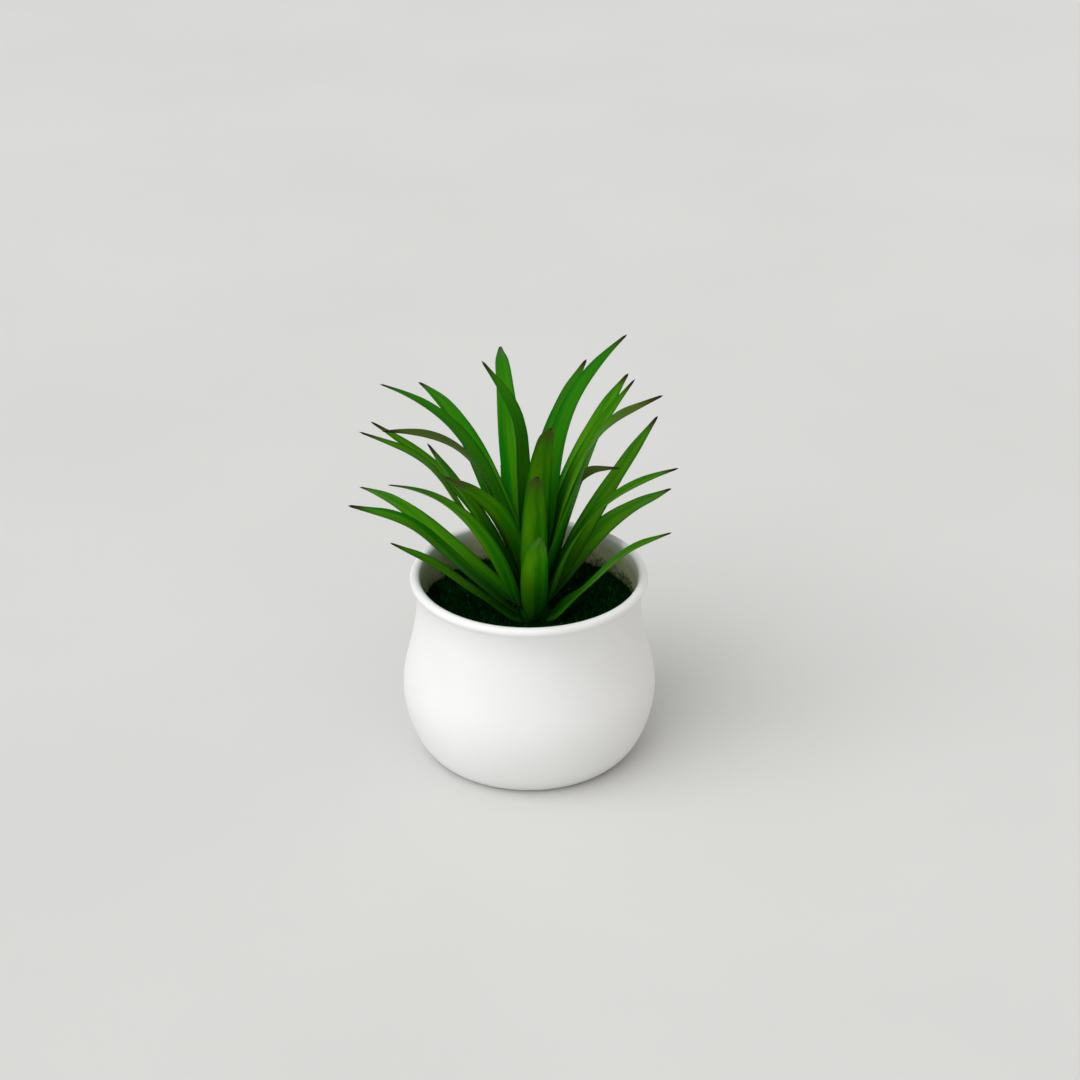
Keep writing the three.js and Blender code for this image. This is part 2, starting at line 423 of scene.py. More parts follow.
@dataclass(frozen=True)
class SoftPolyethylene(Finish):
    """Dyed polyethylene, moulded soft: matte, deep green with yellower bands along the blade.

    The margins are lined with brown and the tips are painted brown to black, as if scorched. On two arched
    blades the olive tan of the scorch also paints their grey sheen under the light from above.
    """

    name: str = "polyethylene_moulded_leaf_green"
    slot: str = "leaf"
    edging: str = "#26300A"
    tan_and_sheen: str = "#45531C"
    singed: str = "#33300E"
    burnt: str = "#1B1216"
    blade_mm: float = 8.0  # width that the streaks are counted across
    length_mm: float = 80.0  # length that they are counted along
    vein_mm: float = 0.7  # spacing of the fine veins; real ones are finer than the picture shows
    vein_run_mm: float = 20.0  # how long they run
    band_mm: float = 3.5  # width of the paler and deeper bands that run along a blade
    band_run_mm: float = 40.0
    leaf_step: float = 50.0  # how far a leaf's tone shifts its streaks, so that leaves differ
    blotch_mm: float = 12.0  # size of the patches where the wax is duller
    roughness: float = 0.44

    def streaks(self, tree: NodeTree, sheet: Node, spacing: float, run: float) -> Node:
        """Draws noise out along the blade.

        Args:
            tree: The material's node tree.
            sheet: A node that gives the place on the blade.
            spacing: How far apart the streaks are, in mm.
            run: How long they are, in mm.

        Returns:
            The noise.
        """
        scale = (self.length_mm / run, self.blade_mm / 2 / spacing, self.leaf_step)
        drawn_out = add_node(tree, "Mapping", {"Vector": sheet, "Scale": scale})
        return add_node(tree, "TexNoise", {"Vector": drawn_out, "Scale": 1.0, "Detail": 2.0})

    def greens(self, tree: NodeTree, blade: dict[str, Any]) -> Node:
        """Mixes the deep green, the yellower bands and the fine veins; both greens also carry painted shade
        along the blade.

        Args:
            tree: The material's node tree.
            blade: What is known of the place on the blade, by name.

        Returns:
            A node that gives the colour.
        """
        # Both ramps run from root to tip and paint shade: near-black green at the root, where the leaves
        # crowd round the stem, and a duller green towards the tip, which the light from above reaches most.
        deep = add_node(
            tree, "ValToRGB", {"Fac": blade["along"]},
            stops=((0.0, "#022E03"), (0.14, "#055602"), (0.4, "#096C02"), (0.9, "#166404")),
        )
        pale = add_node(
            tree, "ValToRGB", {"Fac": blade["along"]},
            stops=((0.0, "#084A03"), (0.16, "#357A03"), (0.45, "#529103"), (0.9, "#3F7608")),
        )
        middle = add_node(
            tree, "MapRange",
            {"Value": blade["off_middle"], "From Min": 1.0, "From Max": 0.1, "To Min": -0.25, "To Max": 0.3},
            SMOOTH,
        )
        banded = add_node(tree, "MapRange", {"Value": blade["band"], "From Min": 0.37, "From Max": 0.63})
        glow = add_node(tree, "Math", {0: banded, 1: middle}, {"operation": "ADD", "use_clamp": True})
        glow_here = add_node(tree, "Math", {0: glow, 1: blade["tone"]}, TIMES)
        green = add_node(tree, "MixRGB", {"Fac": glow_here, "Color1": deep, "Color2": pale})
        return add_node(
            tree, "MixRGB", {"Fac": 0.25, "Color1": green, "Color2": blade["vein"]},
            {"blend_type": "OVERLAY"},
        )

    def scorched(self, tree: NodeTree, blade: dict[str, Any], colour: Node) -> Node:
        """Paints the brown margins and tip over the green, with an olive tan that on arched blades also
        stands for painted sheen.

        Args:
            tree: The material's node tree.
            blade: What is known of the place on the blade, by name.
            colour: The green.

        Returns:
            A node that gives the painted colour.
        """
        lined = add_node(tree, "Math", {0: blade["burn"], 1: 0.65, 2: 0.15}, TIMES_PLUS)
        # Scorch reaches back from the tip as far as the leaf's browning says, with a ragged end.
        ragged = add_node(tree, "Math", {0: blade["vein"], 1: 0.16, 2: blade["along"]}, TIMES_PLUS)
        reach = add_node(tree, "Math", {0: ragged, 1: blade["browning"]}, {"operation": "ADD"})
        # Each coat: what it follows, where it starts and where it is full, how thick it gets, its colour.
        coats = (
            (blade["off_middle"], 0.84, 1.0, lined, self.edging),
            # Olive tan: partly scorch, partly painted grey sheen of the arched blades under the light from
            # above.
            (reach, 1.0, 1.2, 0.9, self.tan_and_sheen),
            (ragged, 0.98, 1.05, blade["burn"], self.singed),
            (ragged, 1.02, 1.09, blade["burn"], self.burnt),
        )
        for where, start, full, most, paint in coats:
            coat = add_node(
                tree, "MapRange",
                {"Value": where, "From Min": start, "From Max": full, "To Max": most}, SMOOTH,
            )
            colour = add_node(tree, "MixRGB", {"Fac": coat, "Color1": colour, "Color2": linear(paint)})
        return colour

    def surface(self, tree: NodeTree) -> dict[str, Any]:
        """Colours the blade by its own coordinates, from root to tip and from middle to margin.

        Args:
            tree: The material's node tree.

        Returns:
            What the shader's inputs get.
        """
        blade = {
            name: add_node(tree, "Attribute", settings={"attribute_name": name}).outputs["Fac"]
            for name in LEAF_LAYERS
        }
        blade["off_middle"] = add_node(tree, "Math", {0: blade["across"]}, {"operation": "ABSOLUTE"})
        sheet = add_node(tree, "CombineXYZ", {"X": blade["along"], "Y": blade["across"], "Z": blade["tone"]})
        blade["vein"] = self.streaks(tree, sheet, self.vein_mm, self.vein_run_mm)
        blade["band"] = self.streaks(tree, sheet, self.band_mm, self.band_run_mm)
        place = add_node(tree, "TexCoord").outputs["Object"]
        wax = add_node(
            tree, "TexNoise", {"Vector": place, "Scale": 1 / (self.blotch_mm * MM), "Detail": 2.0},
        )
        return {
            "Base Color": self.scorched(tree, blade, self.greens(tree, blade)),
            "Roughness": add_node(
                tree, "MapRange",
                {"Value": wax, "To Min": self.roughness - 0.06, "To Max": self.roughness + 0.1},
            ),
            "IOR": 1.5,
            "Specular IOR Level": 0.03,
            "Subsurface Weight": 0.08,
            "Subsurface Scale": 0.8 * MM,
            "Subsurface Radius": (0.4, 1.0, 0.1),
            "Normal": add_node(
                tree, "Bump", {"Height": blade["vein"], "Strength": 0.3, "Distance": 0.06 * MM},
            ),
        }


@dataclass(frozen=True)
class StemPolyethylene(Finish):
    """The same dyed polyethylene, thicker and darker in the stem, with fine rings of the mould."""

    name: str = "polyethylene_moulded_stem_green"
    slot: str = "stem"
    patch_mm: float = 10 / 3  # size of the lighter and darker patches
    ring_mm: float = 1.2

    def surface(self, tree: NodeTree) -> dict[str, Any]:
        """Varies the dark green and adds the rings.

        Args:
            tree: The material's node tree.

        Returns:
            What the shader's inputs get.
        """
        place = add_node(tree, "TexCoord").outputs["Object"]
        patches = add_node(tree, "TexNoise", {"Vector": place, "Scale": 1 / (self.patch_mm * MM)})
        rings = add_node(
            tree, "TexWave",
            {"Vector": place, "Scale": 1 / (self.ring_mm * MM) / math.tau, "Distortion": 2.0},
            {"bands_direction": "Z"},
        ).outputs["Fac"]
        return {
            "Base Color": add_node(
                tree, "ValToRGB", {"Fac": patches}, stops=((0.3, "#063308"), (0.7, "#11480A")),
            ),
            "Roughness": 0.42,
            "IOR": 1.5,
            "Specular IOR Level": 0.2,
            "Normal": add_node(tree, "Bump", {"Height": rings, "Strength": 0.4, "Distance": 0.1 * MM}),
        }


@dataclass(frozen=True)
class MottledFinish(Finish):
    """A finish that one pattern both colours, through a ramp, and roughens."""

    stops: Stops = ()
    texture: str = "TexNoise"  # the kind of node that makes the pattern
    grain_mm: float = 1.0  # the pattern's size
    detail: float = 0.0
    roughness: float = 0.95
    specular: float = 0.5
    bump: float = 0.0  # strength of the bump
    depth: float = 0.0  # and how deep it is

    def pattern(self, tree: NodeTree) -> Any:
        """Makes the pattern on the piece's own place.

        Args:
            tree: The material's node tree.

        Returns:
            A node or socket that gives it.
        """
        place = add_node(tree, "TexCoord").outputs["Object"]
        scale = 1 / (self.grain_mm * MM)
        return add_node(tree, self.texture, {"Vector": place, "Scale": scale, "Detail": self.detail})

    def surface(self, tree: NodeTree) -> dict[str, Any]:
        """Colours the surface and, where it is rough, adds the bump.

        Args:
            tree: The material's node tree.

        Returns:
            What the shader's inputs get.
        """
        pattern = self.pattern(tree)
        colour = add_node(tree, "ValToRGB", {"Fac": pattern}, stops=self.stops)
        inputs = {"Base Color": colour, "Roughness": self.roughness, "Specular IOR Level": self.specular}
        if self.bump:
            relief = {"Height": pattern, "Strength": self.bump, "Distance": self.depth}
            inputs["Normal"] = add_node(tree, "Bump", relief)
        return inputs


@dataclass(frozen=True)
class ShadedFinish(MottledFinish):
    """A finish of many small copies, each coloured by the shade that it was planted with."""

    def pattern(self, tree: NodeTree) -> Any:
        """The copies' shades."""
        return add_node(tree, "Attribute", settings={"attribute_name": "shade"}).outputs["Fac"]


@dataclass(frozen=True)
class FlockFibre(ShadedFinish):
    """Nylon flock, cut short and dyed green: painted shade makes it near-black at its foot, deep in the
    pile, and painted light makes its tips lighter; tufts drawn lighter at random stand partly for painted
    glints.
    """

    name: str = "nylon_flock_dyed_green"
    slot: str = "moss"
    stops: Stops = ((0.0, "#000E00"), (0.4, "#04380A"), (0.75, "#0F641E"), (1.0, "#40A055"))
    roughness: float = 0.8
    specular: float = 0.04


@dataclass(frozen=True)
class FoamCrumb(ShadedFinish):
    """Crumbs of foam and of flock glue, dried pale: from a dull grey green to white."""

    name: str = "foam_crumbs_dried_pale"
    slot: str = "foam"
    stops: Stops = ((0.0, "#4F6650"), (1.0, "#C0CABA"))
    roughness: float = 0.5


@dataclass(frozen=True)
class FlockedBed(MottledFinish):
    """The flock's glued backing on the foam: matte, nearly black and lumpy."""

    name: str = "nylon_flock_glued_backing"
    slot: str = "moss"
    stops: Stops = ((0.35, "#000700"), (0.7, "#021E05"))
    grain_mm: float = 1.5  # size of its lumps
    detail: float = 5.0
    specular: float = 0.1
    bump: float = 0.9
    depth: float = 0.6 * MM


@dataclass(frozen=True)
class FloralFoam(MottledFinish):
    """Dry phenolic foam, cut to the pot: olive brown and full of small cells."""

    name: str = "phenolic_foam_cut"
    slot: str = "foam"
    stops: Stops = ((0.1, "#3F3D27"), (0.6, "#6B6845"))
    texture: str = "TexVoronoi"
    grain_mm: float = 0.6  # size of its cells
    bump: float = 0.8
    depth: float = 0.2 * MM


@dataclass(frozen=True)
class PaintedBoard(MottledFinish):
    """Painted board for the floor: pale, matte and very slightly uneven."""

    name: str = "board_painted_pale"
    slot: str = ""
    stops: Stops = ((0.3, "#D1D1CF"), (0.7, "#D5D5D3"))
    grain_mm: float = 500 / 3  # size of the faint clouds in the paint
    detail: float = 3.0
    roughness: float = 0.8


# -------------------- the pot


@dataclass
class Pot:
    """The round-bellied pot: the CAD outline, made to flow into the lip, with a shallow recess below."""

    sides: int = 144
    outline_steps: int = 3
    foot_ring: float = 3.0 * MM  # width of the ring that it stands on, to the foot's outer edge
    foot_round: float = 0.3 * MM  # how far inside that edge the flat of the ring ends
    recess: float = 0.6 * MM
    crease: tuple[float, float] = (55.0 * MM, 57.0 * MM)  # heights between which the CAD has a sharp neck
    evened: int = 4  # how often the outline is evened out

    def __post_init__(self) -> None:
        """Reads the outline from the frame."""
        low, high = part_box("pot")
        self.centre = (low + high) / 2
        self.outline = cad_outline("pot", self.centre)

    def build(self) -> None:
        """Builds the pot in the CAD node's place."""
        _, foot, *wall, well_edge, well = self.outline
        ring = foot.x - self.foot_ring
        underside = [
            Vector((0, self.recess)),
            Vector((ring - self.recess, self.recess)),
            Vector((ring, 0)),
            Vector((foot.x - self.foot_round, 0)),
        ]
        flowing = [p for p in wall if not self.crease[0] < p.y < self.crease[1]]
        smooth_wall = curve_through([foot, *flowing, well_edge], self.outline_steps)
        for _ in range(self.evened):
            threes = zip(smooth_wall, smooth_wall[1:], smooth_wall[2:])
            smooth_wall[1:-1] = [(below + 2 * here + above) / 4 for below, here, above in threes]
        shape = spun([*underside, *smooth_wall, well], self.centre, self.sides)
        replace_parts(show("pot_shell", shape, MouldedMelamine()), "pot")

    def wall_inside(self, height: float) -> float:
        """Radius of the inner wall at a height near the moss."""
        inner = [p for p in self.outline[len(self.outline) // 2:] if p.x > 0]
        return min(inner, key=lambda p: abs(p.y - height)).x


# -------------------- what fills the pot


@dataclass
class Planting:
    """Many small copies of a few shapes in one mesh, planted bed by bed, each with its own shade."""

    bed_size: int = 80  # copies in a bed; a bed joins the whole in one go, which is quicker
    foot_painted_shade: float = 0.4  # painted shade at a copy's foot, deep in the pile: its lightness there as a share of that at its tip

    def __post_init__(self) -> None:
        """Starts with no bed planted."""
        self.whole = self.empty()
        self.bed = self.empty()
        self.planted = 0

    @staticmethod
    def empty() -> BMesh:
        """Makes a bmesh that can hold shades.

        Returns:
            The bmesh.
        """
        shape = bmesh.new()
        shape.verts.layers.float.new("shade")
        return shape

    def plant(self, mesh: Mesh, place: Matrix, shade: float) -> None:
        """Adds a copy of a small mesh.

        Args:
            mesh: What is copied; its own shades run from 0 at its foot to 1 at its tip, as painted shade and
                painted light.
            place: Where it goes.
            shade: How light the copy is, from 0 to 1.
        """
        first = len(self.bed.verts)
        self.bed.from_mesh(mesh)
        self.bed.verts.ensure_lookup_table()
        added = self.bed.verts[first:]
        bmesh.ops.transform(self.bed, verts=added, matrix=place)
        layer = self.bed.verts.layers.float["shade"]
        for vert in added:
            vert[layer] = shade * (self.foot_painted_shade + (1 - self.foot_painted_shade) * vert[layer])
        self.planted += 1
        if self.planted % self.bed_size == 0:
            self.join_bed()

    def join_bed(self) -> None:
        """Moves the bed into the whole."""
        mesh = as_mesh("bed", self.bed)
        self.whole.from_mesh(mesh)
        bpy.data.meshes.remove(mesh)
        self.bed = self.empty()

    def show(self, name: str, finish: Finish) -> None:
        """Makes the object of all that was planted.

        Args:
            name: The object's name.
            finish: What it is made of.
        """
        self.join_bed()
        self.bed.free()
        show(name, self.whole, finish, smooth=False)


@dataclass
class Moss:
    """The flocked cover: the CAD disc, a pile of short fibres, fuzz on the wall and pale crumbs.

    A pair of numbers is the least and the most of a random draw, and angles are in radians.
    """

    pot: Pot
    seed: int = 7
    fibre_length: float = 1.5 * MM
    fibre_lengths: tuple[float, float] = (0.5, 1.3)  # as shares of that
    fibre_width: float = 0.26 * MM
    kinds: int = 12  # how many different tufts, or single fibres, are copied
    tufts: int = 8400
    tuft_fibres: int = 5
    tuft_spread: float = 0.35 * MM
    tuft_lean: float = 1.0
    tuft_sizes: tuple[float, float] = (0.7, 1.2)
    darkest: float = 0.25  # shade of the darkest tuft
    rare_light_and_glint: float = 2.2  # the higher it is, the fewer tufts are light; light tufts are partly a random tone and partly painted glints
    sunk: float = 0.15 * MM  # how deep the fibres' feet stand in the glue
    bare_rim: float = 0.5 * MM  # width of the cover's rim on which no tuft stands
    bank: float = 0.5 * MM  # how much higher the pile stands against the wall
    bank_width: float = 2.5 * MM
    wall_fibres: int = 2600
    wall_start: float = 0.2 * MM  # how far below the cover's top the fuzz starts
    wall_reach: float = 4.5 * MM  # how far up the wall it clings
    wall_gap: float = 0.15 * MM  # how far off the wall its fibres' feet stand
    wall_bend: float = 0.2  # the most that a single fibre leans before it is placed
    wall_tilt: float = 0.7  # usual tilt along the wall
    wall_leans: tuple[float, float] = (0.05, 0.5)  # tilt away from the wall
    wall_width: float = 0.6  # as a share of a tuft's fibre
    wall_lengths: tuple[float, float] = (0.5, 1.0)
    wall_shades: tuple[float, float] = (0.5, 1.0)
    thick_share: float = 0.6  # share of the fuzz that lies where it is thickest
    thick_at: float = 0.6  # direction of that place, from +X towards +Y
    thick_spread: float = 0.7
    thick_climb: float = 2.5  # the higher it is, the fewer fibres climb far
    thin_climb: float = 4.0  # the same elsewhere on the wall
    crumbs: int = 56
    crumb_size: float = 0.3 * MM
    crumb_reach: float = 0.96  # share of the cover's radius that they lie within
    crumb_sizes: tuple[float, float] = (0.5, 1.2)
    crumb_breadths: tuple[float, float] = (0.5, 1.5)
    crumb_thickness: float = 0.7

    def __post_init__(self) -> None:
        """Reads the cover's place and prepares the random draws."""
        self.low, self.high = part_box("moss_cover")
        self.radius = (self.high.x - self.low.x) / 2
        self.draws = random.Random(self.seed)
        self.surface = BVHTree.FromBMesh(merged_copy("moss_cover"))

    def add_fibre(self, shape: BMesh, length: float) -> list[BMVert]:
        """Adds one three-sided fibre that stands at the origin, with painted shade at its foot and painted
        light at its tip.

        Args:
            shape: The bmesh that gets it.
            length: Its length.

        Returns:
            Its vertices.
        """
        fibre = bmesh.ops.create_cone(
            shape, cap_ends=True, segments=3, radius1=self.fibre_width / 2, radius2=0, depth=length,
        )["verts"]
        bmesh.ops.translate(shape, verts=fibre, vec=(0, 0, length / 2))
        layer = shape.verts.layers.float["shade"]
        # Painted light at the tip, painted shade at the foot.
        for vert in fibre:
            vert[layer] = 1.0 if vert.co.z > length / 2 else 0.0
        return fibre

    def tuft(self, fibres: int, lean_most: float) -> Mesh:
        """A mesh of a few fibres that lean apart.

        Args:
            fibres: How many fibres it has.
            lean_most: The greatest lean.

        Returns:
            The mesh.
        """
        shape = Planting.empty()
        for _ in range(fibres):
            fibre = self.add_fibre(shape, self.fibre_length * self.draws.uniform(*self.fibre_lengths))
            lean = Matrix.Rotation(self.draws.uniform(0, lean_most), 3, "X")
            turn = Matrix.Rotation(self.draws.uniform(0, math.tau), 3, "Z")
            bmesh.ops.rotate(shape, verts=fibre, matrix=turn @ lean)
            foot = (self.draws.gauss(0, self.tuft_spread), self.draws.gauss(0, self.tuft_spread), 0)
            bmesh.ops.translate(shape, verts=fibre, vec=foot)
        return as_mesh("tuft", shape)

    def spot(self, widest: float) -> Optional[Vector]:
        """A random spot on the cover's top, or None when it falls in the stem's hole.

        Args:
            widest: The greatest distance from the pot's axis.

        Returns:
            The spot.
        """
        reach = widest * math.sqrt(self.draws.random())
        angle = self.draws.uniform(0, math.tau)
        above = Vector((reach * math.cos(angle), reach * math.sin(angle), self.high.z + MM))
        hit, normal, _, _ = self.surface.ray_cast(above, Vector((0, 0, -1)))
        return hit if hit is not None and normal.z > LEVEL and hit.z > self.low.z + MM else None

    def build_pile(self) -> None:
        """Plants the tufts all over the cover, standing higher in a ragged bank against the wall."""
        kinds = [self.tuft(self.tuft_fibres, self.tuft_lean) for _ in range(self.kinds)]
        planting = Planting()
        for _ in range(self.tufts):
            spot = self.spot(self.radius - self.bare_rim)
            if spot is None:
                continue
            size = self.draws.uniform(*self.tuft_sizes)
            edge = max(0.0, 1 - (self.radius - spot.xy.length) / self.bank_width)
            spot.z += self.bank * edge * self.draws.random() - self.sunk
            place = (
                Matrix.Translation(spot)
                @ Matrix.Rotation(self.draws.uniform(0, math.tau), 4, "Z")
                @ Matrix.Scale(size, 4)
            )
            kind = self.draws.choice(kinds)
            # Tufts lighter at random: partly their own tone, partly painted glints.
            light = self.draws.random() ** self.rare_light_and_glint
            planting.plant(kind, place, self.darkest + (1 - self.darkest) * light)
        planting.show("moss_pile", FlockFibre())

    def build_wall_fuzz(self) -> None:
        """Sticks loose fibres to the pot's inner wall above the moss, thickest at its right and back."""
        kinds = [self.tuft(1, self.wall_bend) for _ in range(self.kinds)]
        planting = Planting()
        for _ in range(self.wall_fibres):
            thick = self.draws.random() < self.thick_share
            if thick:
                angle = self.draws.gauss(self.thick_at, self.thick_spread)
            else:
                angle = self.draws.uniform(0, math.tau)
            climb = self.draws.random() ** (self.thick_climb if thick else self.thin_climb)
            height = self.high.z - self.wall_start + self.wall_reach * climb
            radius = self.pot.wall_inside(height) - self.wall_gap
            place = (
                Matrix.Translation((radius * math.cos(angle), radius * math.sin(angle), height))
                @ Matrix.Rotation(angle, 4, "Z")
                @ Matrix.Rotation(self.draws.gauss(0, self.wall_tilt), 4, "X")
                @ Matrix.Rotation(-self.draws.uniform(*self.wall_leans), 4, "Y")
                @ Matrix.Diagonal((
                    self.wall_width, self.wall_width, self.draws.uniform(*self.wall_lengths), 1,
                ))
            )
            planting.plant(self.draws.choice(kinds), place, self.draws.uniform(*self.wall_shades))
        planting.show("moss_wall_fuzz", FlockFibre())

    def build_crumbs(self) -> None:
        """Scatters pale crumbs on the pile."""
        single = Planting.empty()
        bmesh.ops.create_icosphere(single, subdivisions=1, radius=self.crumb_size / 2)
        layer = single.verts.layers.float["shade"]
        for vert in single.verts:
            vert[layer] = 1.0
        crumb = as_mesh("crumb", single)
        on_pile = Vector((0, 0, self.fibre_length))
        planting = Planting()
        for _ in range(self.crumbs):
            spot = self.spot(self.radius * self.crumb_reach)
            if spot is None:
                continue
            size = self.draws.uniform(*self.crumb_sizes)
            turn = Matrix.Rotation(self.draws.uniform(0, math.tau), 4, "X")
            breadth = self.draws.uniform(*self.crumb_breadths)
            stretch = Matrix.Diagonal((size, size * breadth, size * self.crumb_thickness, 1))
            planting.plant(crumb, Matrix.Translation(spot + on_pile) @ turn @ stretch, self.draws.random())
        planting.show("moss_crumbs", FoamCrumb())

    def build(self) -> None:
        """Dresses the cover and the foam and adds the pile, the fuzz and the crumbs."""
        redress("moss_cover", FlockedBed())
        redress("foam_plug", FloralFoam())
        self.build_pile()
        self.build_wall_fuzz()
        self.build_crumbs()


# -------------------- the stem


@dataclass
class Stem:
    """The short stem with its crown, turned from the CAD outline with finer sides."""

    sides: int = 48
    outline_steps: int = 4

    def __post_init__(self) -> None:
        """Reads the stem's axis and outline from the frame."""
        low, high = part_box("stem")
        self.centre = (low + high) / 2
        self.outline = cad_outline("stem", self.centre)

    def build(self) -> None:
        """Builds the stem in the CAD node's place."""
        smooth = curve_through(self.outline, self.outline_steps)
        for point in smooth:
            point.x = max(point.x, 0.0)
        shape = spun(smooth, self.centre, self.sides)
        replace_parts(show("stem_core", shape, StemPolyethylene()), "stem")


# -------------------- the leaves


class Scorch(Enum):
    """How far a leaf has browned back from its tip, as a share of its length; on two arched blades the olive
    tan also stands for painted sheen.
    """

    FRESH = 0.0
    TANNED = 0.24
    BROWN = 0.42


class Tip(Enum):
    """How dark the very tip is painted, as a share of the darkest."""

    CLEAN = 0.0
    TINGED = 0.5
    BURNT = 1.0


@dataclass(frozen=True)
class Habit:
    """What sets one leaf apart from the others."""

    scorch: Scorch = Scorch.FRESH
    tip: Tip = Tip.BURNT
    tone: float = 0.9  # how yellow its bands are, from 0 to 1
    fuller: float = 1.0  # its width, as a share of the CAD leaf's
    turn: float = 0.0  # degrees that it is turned about its length
    root_gain: float = 0.0  # how much broader and thicker its root is than the CAD leaf's
    root_turn: float = 0.0  # degrees that its root is turned about its length
    tip_gain: float = 0.35  # how much fuller the blade is near its tip than the CAD's plain taper


HABITS = {
    "lower_leaf_1": Habit(root_gain=1.1, root_turn=-14.0),
    "lower_leaf_2": Habit(root_gain=1.1, root_turn=14.0),
    "lower_leaf_3": Habit(tip=Tip.CLEAN, tip_gain=0.0),
    "lower_leaf_5": Habit(tone=0.7),
    "lower_leaf_6": Habit(tone=0.8),
    "lower_leaf_8": Habit(Scorch.TANNED, Tip.TINGED),
    "inner_leaf_3": Habit(Scorch.BROWN, tone=0.7, fuller=1.2, turn=9.0),
    "inner_leaf_4": Habit(Scorch.TANNED, Tip.TINGED),
    # Its olive tan also paints the grey sheen of its arched top.
    "inner_leaf_5": Habit(Scorch.TANNED, tone=0.7, fuller=1.15),
    "inner_leaf_6": Habit(tip=Tip.TINGED, tone=0.5),
    "upper_leaf_1": Habit(Scorch.TANNED, Tip.TINGED),
    # Its olive tan also paints the grey sheen of its arched top.
    "upper_leaf_3": Habit(Scorch.BROWN, tone=0.7, fuller=1.2, turn=-10.0),
    "upper_leaf_4": Habit(tone=0.6),
    "upper_leaf_5": Habit(tone=0.35),
    "upper_leaf_6": Habit(tone=0.4),
    "upper_leaf_7": Habit(tone=0.25),
    "upper_leaf_8": Habit(tone=0.4),
}


def eased(value: float) -> float:
    """Runs smoothly from 0 to 1 as the value does."""
    held = max(0.0, min(1.0, value))
    return held * held * (3 - 2 * held)


@dataclass
class Station:
    """One place along a leaf: the blade's middle, its half side and the way its upper face looks."""

    middle: Vector
    side: Vector
    up: Vector


